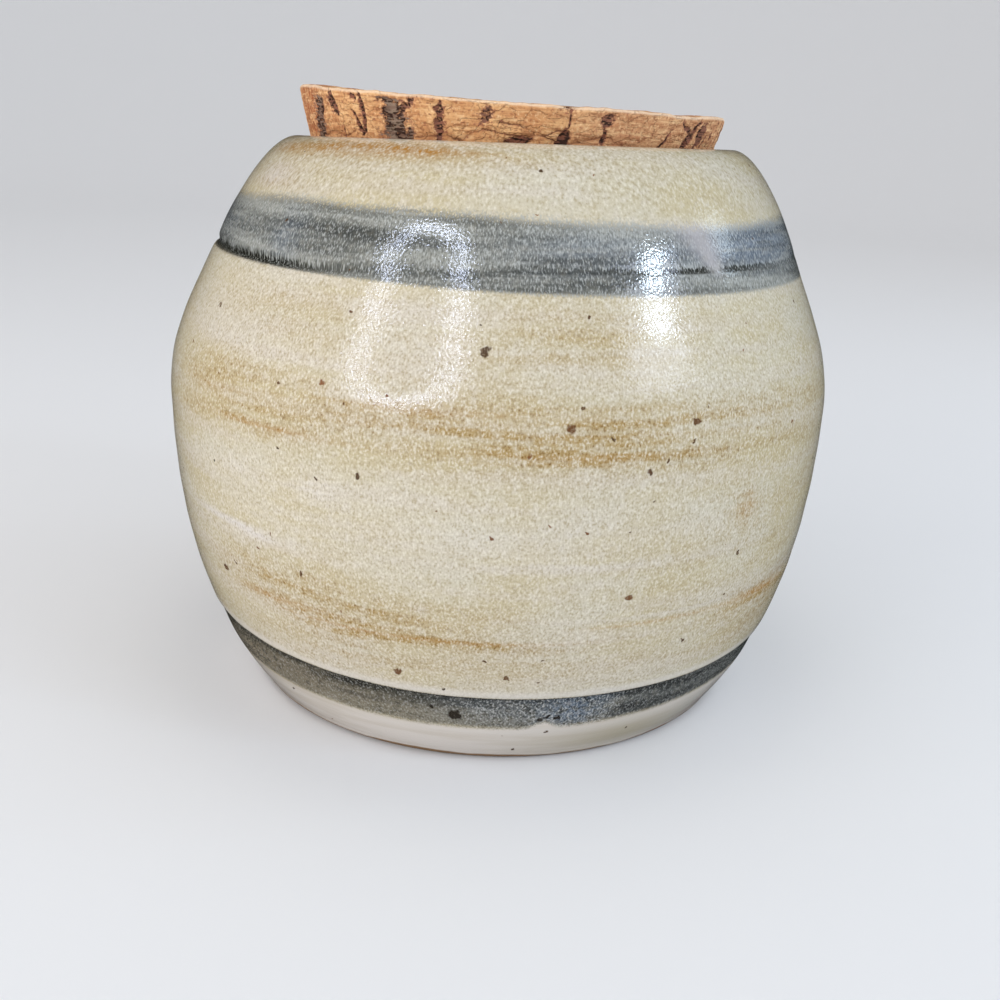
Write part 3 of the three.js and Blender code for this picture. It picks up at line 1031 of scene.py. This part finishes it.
def oatmeal_glaze(s, n):
    """Cream with a fine grain, blushes of iron, some of them also painted shade, pale glaze with painted
    highlights on throwing ridges, and rust-coloured strokes.
    """
    cream = s.blend(s.rise(n.cloud, 0.35, 0.68), *OATMEAL)
    cream = s.blend(s.rise(n.brush, 0.45, 0.7, 0, 0.4), cream, MILKY_STROKE)
    cream = s.mottled(cream, n.speckle, SPECKLE, (0.47, 0.3, 0.4), (0.5, 0.7, 0.45))
    # Pale thicker glaze, with painted highlights along throwing ridges
    pale = s.times(s.field("pale"), s.rise(n.streak, 0.3, 0.6, 0.4, 1))
    cream = s.blend(pale, cream, THICK_GLAZE_AND_RIDGE_HIGHLIGHT)
    # Iron blushes, two of them also painted shade
    blush_and_shade = s.times(s.field("blush_and_shade"), s.rise(n.streak, 0.3, 0.66, 0.3, 1.2))
    blush_and_shade = s.times(blush_and_shade, s.rise(n.speckle, 0.3, 0.7, 1.15, 0.6))
    cream = s.blend(s.times(blush_and_shade, 0.9), cream, BLUSH_AND_SHADE)
    cream = s.blend(s.rise(n.grain, 0.5, 0.7, 0, 0.65), cream, GRAIN_LIGHT)
    gaps = s.times(s.rise(n.grain, 0.5, 0.3), s.rise(blush_and_shade, 0, 1, 0.75, 0.95))
    cream = s.blend(gaps, cream, s.blend(blush_and_shade, *GRAIN_GAP))
    rust = s.times(s.field("rust"), s.rise(n.streak, 0.35, 0.6, 0.6, 1.05))
    rust = s.times(rust, s.rise(n.speckle, 0.65, 0.35, 0.6, 1), s.rise(n.grain, 0.65, 0.45, 0.4, 1))
    cream = s.blend(rust, cream, RUST)
    dots = s.times(s.rise(n.grain, 0.31, 0.25), s.rise(blush_and_shade, 0.2, 0.7))
    return s.blend(dots, cream, RUST_DOT)


def slate_paint(s, n, low_edge):
    """Grey-blue brushed pigment, with a pale seam where the brush was set down."""
    slate = s.blend(s.rise(n.brush, 0.36, 0.66), *SLATE)
    slate = s.blend(s.times(s.field("cool"), 0.6), slate, SLATE_BLUE)
    slate = s.mottled(slate, n.streak, SLATE_STREAK, (0.48, 0.3, 0.5), (0.52, 0.72, 0.5))
    # Darker brush strokes, one of them also painted shade on the front
    stroke_and_shade = s.times(s.field("shade"), s.rise(n.streak, 0.3, 0.6, 1, 0.6))
    slate = s.blend(stroke_and_shade, slate, SLATE_STROKE_AND_SHADE)
    slate = s.mottled(slate, n.fibre, SLATE_FIBRE, (0.5, 0.3, 0.45), (0.5, 0.7, 0.5))
    seam = s.times(s.field("seam"), s.rise(low_edge, 1.8, 5.0, 0, 0.7))
    return s.blend(seam, slate, SEAM_GLAZE)


def shoulder_band(s, n, colour):
    """Paints the shoulder band and the dark incised line in it, and says where the band is."""
    top_edge = s.shifted(s.shifted(s.field("shoulder_top"), n.fibre, 3.4), n.cloud, 1.2)
    low_edge = s.shifted(s.field("shoulder_low"), n.fibre, 1.3)
    band = s.times(s.rise(top_edge, -0.7, 1.2), s.rise(low_edge, -0.3, 0.5))
    cover = s.times(band, s.rise(n.speckle, 0.2, 0.6, 0.88, 0.98))
    colour = s.blend(cover, colour, slate_paint(s, n, low_edge))
    below_line = s.rise(s.shifted(s.field("line_off"), n.fibre, 1.0), -1.2, -0.6)
    above_line = s.rise(s.shifted(s.field("line_off"), n.fibre, 2.6), 1.1, 0.3)
    line = s.times(below_line, above_line, s.field("line_strength"), s.rise(n.fibre, 0.68, 0.5, 0.45, 0.95))
    line = s.times(line, s.minus(1.0, s.field("seam")))
    return s.blend(line, colour, LINE_INK), band


def coal_paint(s, n, foot_top):
    """Dark pigment that runs out downwards, blushed, blue in places and brushed over a second time, with
    pooled pigment and painted shade along its top edge.
    """
    down = s.shifted(s.shifted(s.field("foot_top"), n.streak, 6.0), n.brush, 4.0)
    coal = s.blend(s.rise(down, 0.6, 6.2), *COAL)
    blushed = s.blend(s.rise(down, 0.6, 5), *COAL_BLUSHED)
    coal = s.blend(s.field("blush_and_shade"), coal, blushed)
    coal = s.blend(s.rise(n.cloud, 0.5, 0.7, 0, 0.35), coal, COAL_CLOUD)
    coal = s.blend(s.rise(n.streak, 0.48, 0.32, 0, 0.5), coal, COAL_STREAK)
    cool = s.field("cool")
    coal = s.blend(s.times(cool, s.rise(n.speckle, 0.35, 0.6, 0.4, 1)), coal, COAL_BLUE)
    second = s.blend(s.rise(n.streak, 0.3, 0.7), *SECOND_STROKE)
    coal = s.blend(s.field("overlap"), coal, second)
    fleck = s.rise(cool, 0, 0.5, 0.45, 1)
    coal = s.blend(s.times(fleck, s.rise(n.speckle, 0.5, 0.7, 0, 0.4)), coal, COAL_FLECK)
    coal = s.blend(s.rise(n.speckle, 0.48, 0.3, 0, 0.45), coal, COAL_SPECKLE)
    coal = s.blend(s.times(fleck, s.rise(n.grain, 0.5, 0.68, 0, 0.75)), coal, COAL_GRAIN_LIGHT)
    coal = s.blend(s.times(fleck, s.rise(n.grain, 0.5, 0.32, 0, 0.7)), coal, COAL_GRAIN_DARK)
    # Darker along the band's top edge: pigment pooled against the step, and painted shade under the
    # overhanging wall
    return s.blend(s.rise(foot_top, 1.0, 0.1, 0, 0.75), coal, COAL_EDGE_POOL_AND_SHADE)


def foot_band(s, n, colour):
    """Paints the pale foot and the dark band with a halo over it, and says where the band is."""
    under = s.blend(s.rise(n.streak, 0.42, 0.7, 0, 0.3), *UNDER)
    # Blushes on the pale foot, darker on the low right side as painted shade
    under = s.blend(s.field("blush_and_shade"), under, UNDER_BLUSHED_AND_SHADE)
    colour = s.blend(s.rise(s.field("foot_low"), 0.5, -0.8), colour, under)
    foot_top = s.shifted(s.field("foot_top"), n.fibre, 0.5)
    halo = s.times(s.rise(foot_top, -2.4, -0.8), s.rise(foot_top, 0.1, -0.4, 0, 0.6))
    colour = s.blend(halo, colour, HALO)
    foot_low = s.shifted(s.shifted(s.field("foot_low"), n.fibre, 1.2), n.cloud, 1.0)
    band = s.times(s.rise(foot_top, -0.15, 0.3), s.rise(foot_low, -0.5, 1.0))
    return s.blend(band, colour, coal_paint(s, n, foot_top)), band


def iron_specks(s, n, colour):
    """Ragged dark specks, the rusty ones with a crust."""
    warp = s.vector_math("SUBTRACT", s.noise(s.place, 1.1, 1, "Color"), (0.5, 0.5, 0.5)).outputs["Vector"]
    bent = s.vector_math("ADD", s.place, s.scaled(warp, 1.7)).outputs["Vector"]
    middle = s.joined(s.field("speck_x"), s.field("speck_y"), s.field("speck_z"))
    off = s.math("DIVIDE", s.distance(bent, middle), s.field("speck_radius"))
    speck = s.times(s.rise(off, 1.2, 0.7, 0, 0.92), s.rise(s.field("speck_gap"), 0.7, 0.4))
    shade = s.field("speck_shade")
    crust = s.times(s.rise(n.grain, 0.48, 0.66, 0, 0.6), s.rise(shade, 0, 0.1))
    ink = s.blend(crust, s.blend(shade, *SPECK_INK), SPECK_CRUST)
    return s.blend(speck, colour, ink)


def glaze():
    s = Shader("speckled_glaze")
    n = glaze_noises(s)
    colour = oatmeal_glaze(s, n)
    colour, shoulder = shoulder_band(s, n, colour)
    colour, foot = foot_band(s, n, colour)
    colour = iron_specks(s, n, colour)
    bare = s.rise(s.shifted(s.field("height"), n.cloud, 2.6), 1.2, 0.8)
    colour = s.blend(bare, colour, s.blend(n.speckle, *CLAY))
    s.feed(s.surface.inputs["Base Color"], colour)

    painted = s.math("MAXIMUM", shoulder, foot)
    gloss = s.rise(painted, 0, 1, 0.13, 0.07)
    s.feed(s.surface.inputs["Roughness"], s.math("MAXIMUM", gloss, s.times(bare, 0.85)))
    s.surface.inputs["IOR"].default_value = 1.68
    s.surface.inputs["Specular IOR Level"].default_value = 0.65
    dimples = s.times(s.noise(s.place, 0.44, 0), 0.7)
    dimples = s.plus_times(dimples, 0.6, s.noise(s.stretched(s.place, 1, 1, 0.6), 0.34, 1))
    dimples = s.plus_times(dimples, 0.3, s.noise(s.place, 1.6, 1))
    s.bump(s.times(dimples, s.rise(painted, 0, 1, 1, 0.85)), 0.034)
    return s.material


def cork_noises(s):
    """Textures that several parts of the cork share."""
    crease = s.noise(s.stretched(s.place, 0.5, 0.5, 1), 2.2, 3)
    return SimpleNamespace(
        crumb=s.noise(s.place, 0.55, 3),
        patch=s.noise(s.place, 5, 3),
        layer=s.noise(s.stretched(s.place, 0.1, 0.1, 1), 0.5, 2),
        upright=s.noise(s.stretched(s.place, 1, 1, 0.22), 0.7, 2),
        hatch=s.noise(s.stretched(s.place, 0.32, 0.32, 1.1), 0.5, 2),
        wrinkle=s.rise(s.math("ABSOLUTE", s.minus(crease, 0.5)), 0.03, 0.0),
    )


def cork_flesh(s, n):
    """Tan cork in growth layers, with crumbs, wrinkles, and cracks darkened by their own colour and by
    painted shade.
    """
    colour = s.blend(s.rise(n.patch, 0.35, 0.66), *CORK_TAN)
    colour = s.blend(s.times(s.field("dusky"), 0.6), colour, CORK_DUSKY)
    ruddy = s.times(s.field("ruddy"), s.rise(n.upright, 0.42, 0.58, 0.25, 1))
    colour = s.blend(ruddy, colour, CORK_RUDDY)
    colour = s.mottled(colour, n.layer, LAYER, (0.46, 0.34, 0.5), (0.53, 0.63, 0.55))
    colour = s.mottled(colour, n.crumb, CRUMB, (0.46, 0.28, 0.5), (0.54, 0.74, 0.5))
    colour = s.blend(s.times(n.wrinkle, s.rise(n.crumb, 0.4, 0.6, 0.1, 0.5)), colour, WRINKLE)
    off_crack = s.math("ABSOLUTE", s.shifted(s.field("crack"), n.crumb, 0.7))
    colour = s.blend(s.rise(off_crack, 0.7, 0.2, 0, 0.35), colour, CRACK_EDGE)
    # Dark down the cracks: their own darker colour, and painted shade in the recess
    crack = s.times(s.rise(off_crack, 0.22, 0.05), s.rise(n.patch, 0.35, 0.55, 0.3, 0.85))
    return s.blend(crack, colour, CRACK_DARK_AND_SHADE)


def cork():
    s = Shader("bark_cork")
    n = cork_noises(s)
    colour = cork_flesh(s, n)
    pit = s.shifted(s.shifted(s.field("pit"), n.crumb, 1.3), n.hatch, 1.1)
    colour = s.blend(s.rise(pit, 0.08, 0.42, 0, 0.65), colour, PIT_EDGE)
    bark = s.blend(s.field("grey"), *PIT)
    bark = s.blend(s.rise(n.layer, 0.48, 0.58, 0, 0.5), bark, PIT_LAYER)
    bark = s.blend(s.rise(n.hatch, 0.55, 0.46), bark, PIT_DEEP)
    colour = s.blend(s.rise(pit, 0.3, 0.62, 0, 0.95), colour, bark)
    # Painted highlight: a pale band along the top edge of the side, where the rounded arris catches the light
    arris_highlight = s.times(s.rise(s.field("depth"), 0.7, 0.25, 0, 0.7), s.minus(1.0, s.field("top")))
    colour = s.blend(s.times(arris_highlight, s.rise(pit, 0.6, 0.3)), colour, ARRIS_HIGHLIGHT)
    s.feed(s.surface.inputs["Base Color"], colour)
    s.surface.inputs["Roughness"].default_value = 0.82
    s.surface.inputs["Specular IOR Level"].default_value = 0.3
    s.bump(s.plus_times(s.minus(n.crumb, s.times(n.wrinkle, 0.5)), 0.8, n.layer), 0.26)
    return s.material


def plain_floor():
    material = bpy.data.materials.new("pale_floor")
    material.use_nodes = True
    nodes, links = material.node_tree.nodes, material.node_tree.links
    nodes.remove(nodes["Principled BSDF"])
    matte = nodes.new("ShaderNodeBsdfDiffuse")
    matte.inputs["Color"].default_value = FLOOR_COLOUR
    links.new(matte.outputs["BSDF"], nodes["Material Output"].inputs["Surface"])
    return material


# Stage, lights and camera
def make_floor():
    """A floor that curves up all round."""
    flat, bend, sides = 1500.0, 900.0, 96
    turn = np.linspace(0, np.pi / 2, 12)
    curve = np.stack([flat + bend * np.sin(turn), bend * (1 - np.cos(turn))], axis=1)
    outline = np.concatenate([[(200.0, 0.0), (700.0, 0.0)], curve])
    azimuth = np.arange(sides) * 360 / sides
    rings = np.stack([turned(azimuth, radius, height) for radius, height in outline])
    points = np.concatenate([rings.reshape(-1, 3), [(0, 0, 0)]])
    faces = [(len(points) - 1, k, (k + 1) % sides) for k in range(sides)]
    for row in range(len(outline) - 1):
        for k in range(sides):
            here = row * sides + k
            beside = row * sides + (k + 1) % sides
            faces.append((here, here + sides, beside + sides, beside))
    floor = add_mesh("floor", points, faces)
    floor.data.materials.append(plain_floor())
    floor.visible_glossy = False


def direction(azimuth_deg, elevation_deg):
    a, e = math.radians(azimuth_deg), math.radians(elevation_deg)
    return Vector((math.sin(a) * math.cos(e), -math.cos(a) * math.cos(e), math.sin(e)))


def make_lamp(name, shape, target, come_from, width, tall, power, tint):
    """A soft lamp that shines on a target from a direction."""
    lamp = bpy.data.lights.new(name, "AREA")
    lamp.shape = shape
    lamp.size = width * METRES
    lamp.size_y = tall * METRES
    lamp.energy = power
    lamp.color = tint
    holder = bpy.data.objects.new(name, lamp)
    way = direction(*come_from)
    holder.location = (Vector(target) + way * LAMP_DISTANCE) * METRES
    holder.rotation_mode = "QUATERNION"
    holder.rotation_quaternion = (-way).to_track_quat("-Z", "Y")
    holder.visible_camera = False
    bpy.context.scene.collection.objects.link(holder)
    return holder


def make_ring(holder):
    """Leaves the middle of a lamp dark."""
    lamp = holder.data
    lamp.use_nodes = True
    nodes, links = lamp.node_tree.nodes, lamp.node_tree.links
    place = nodes.new("ShaderNodeNewGeometry").outputs["Parametric"]
    off = nodes.new("ShaderNodeVectorMath")
    off.operation = "DISTANCE"
    links.new(place, off.inputs[0])
    off.inputs[1].default_value = (0.5, 0.5, 0)
    ring = nodes.new("ShaderNodeMapRange")
    links.new(off.outputs["Value"], ring.inputs["Value"])
    ring.inputs["From Min"].default_value = RING_INNER[0] / 2
    ring.inputs["From Max"].default_value = RING_INNER[1] / 2
    links.new(ring.outputs["Result"], nodes["Emission"].inputs["Strength"])


def make_lights():
    lamps = {box[0]: make_lamp(*box) for box in SOFTBOXES}
    make_ring(lamps["ring_lamp"])
    lamps["ring_lamp"].visible_diffuse = False
    for box in FILLS:
        make_lamp(*box).visible_glossy = False
    world = bpy.data.worlds.new("soft_fill")
    world.use_nodes = True
    sky = world.node_tree.nodes["Background"]
    sky.inputs["Color"].default_value = SKY_COLOUR
    sky.inputs["Strength"].default_value = SKY_STRENGTH
    bpy.context.scene.world = world
    world.cycles_visibility.glossy = False


def make_camera():
    pitch, yaw, roll = CAMERA_PITCH, CAMERA_YAW, CAMERA_ROLL
    ahead = Vector((math.sin(yaw) * math.cos(pitch), math.cos(yaw) * math.cos(pitch), -math.sin(pitch)))
    level = Vector((math.cos(yaw), -math.sin(yaw), 0))
    upright = level.cross(ahead)
    right = math.cos(roll) * level + math.sin(roll) * upright
    up = -math.sin(roll) * level + math.cos(roll) * upright
    data = bpy.data.cameras.new("camera")
    data.sensor_width = SENSOR
    data.lens = SENSOR * FOCAL_SHARE
    data.clip_start = 0.01
    holder = bpy.data.objects.new("camera", data)
    turn = Matrix((right, up, -ahead)).transposed()
    holder.matrix_world = Matrix.Translation(Vector(CAMERA_PLACE) * METRES) @ turn.to_4x4()
    bpy.context.scene.collection.objects.link(holder)
    bpy.context.scene.camera = holder


make_camera()
make_lights()
make_floor()
bpy.context.scene.view_settings.view_transform = "Standard"
bpy.context.scene.cycles.diffuse_bounces = 2
bpy.context.scene.cycles.use_light_tree = False

jar = make_jar()
jar.data.materials.append(glaze())
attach(jar, "root")
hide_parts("jar")

stopper = make_cork()
stopper.data.materials.append(cork())
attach(stopper, "root")
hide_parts("cork_stopper")
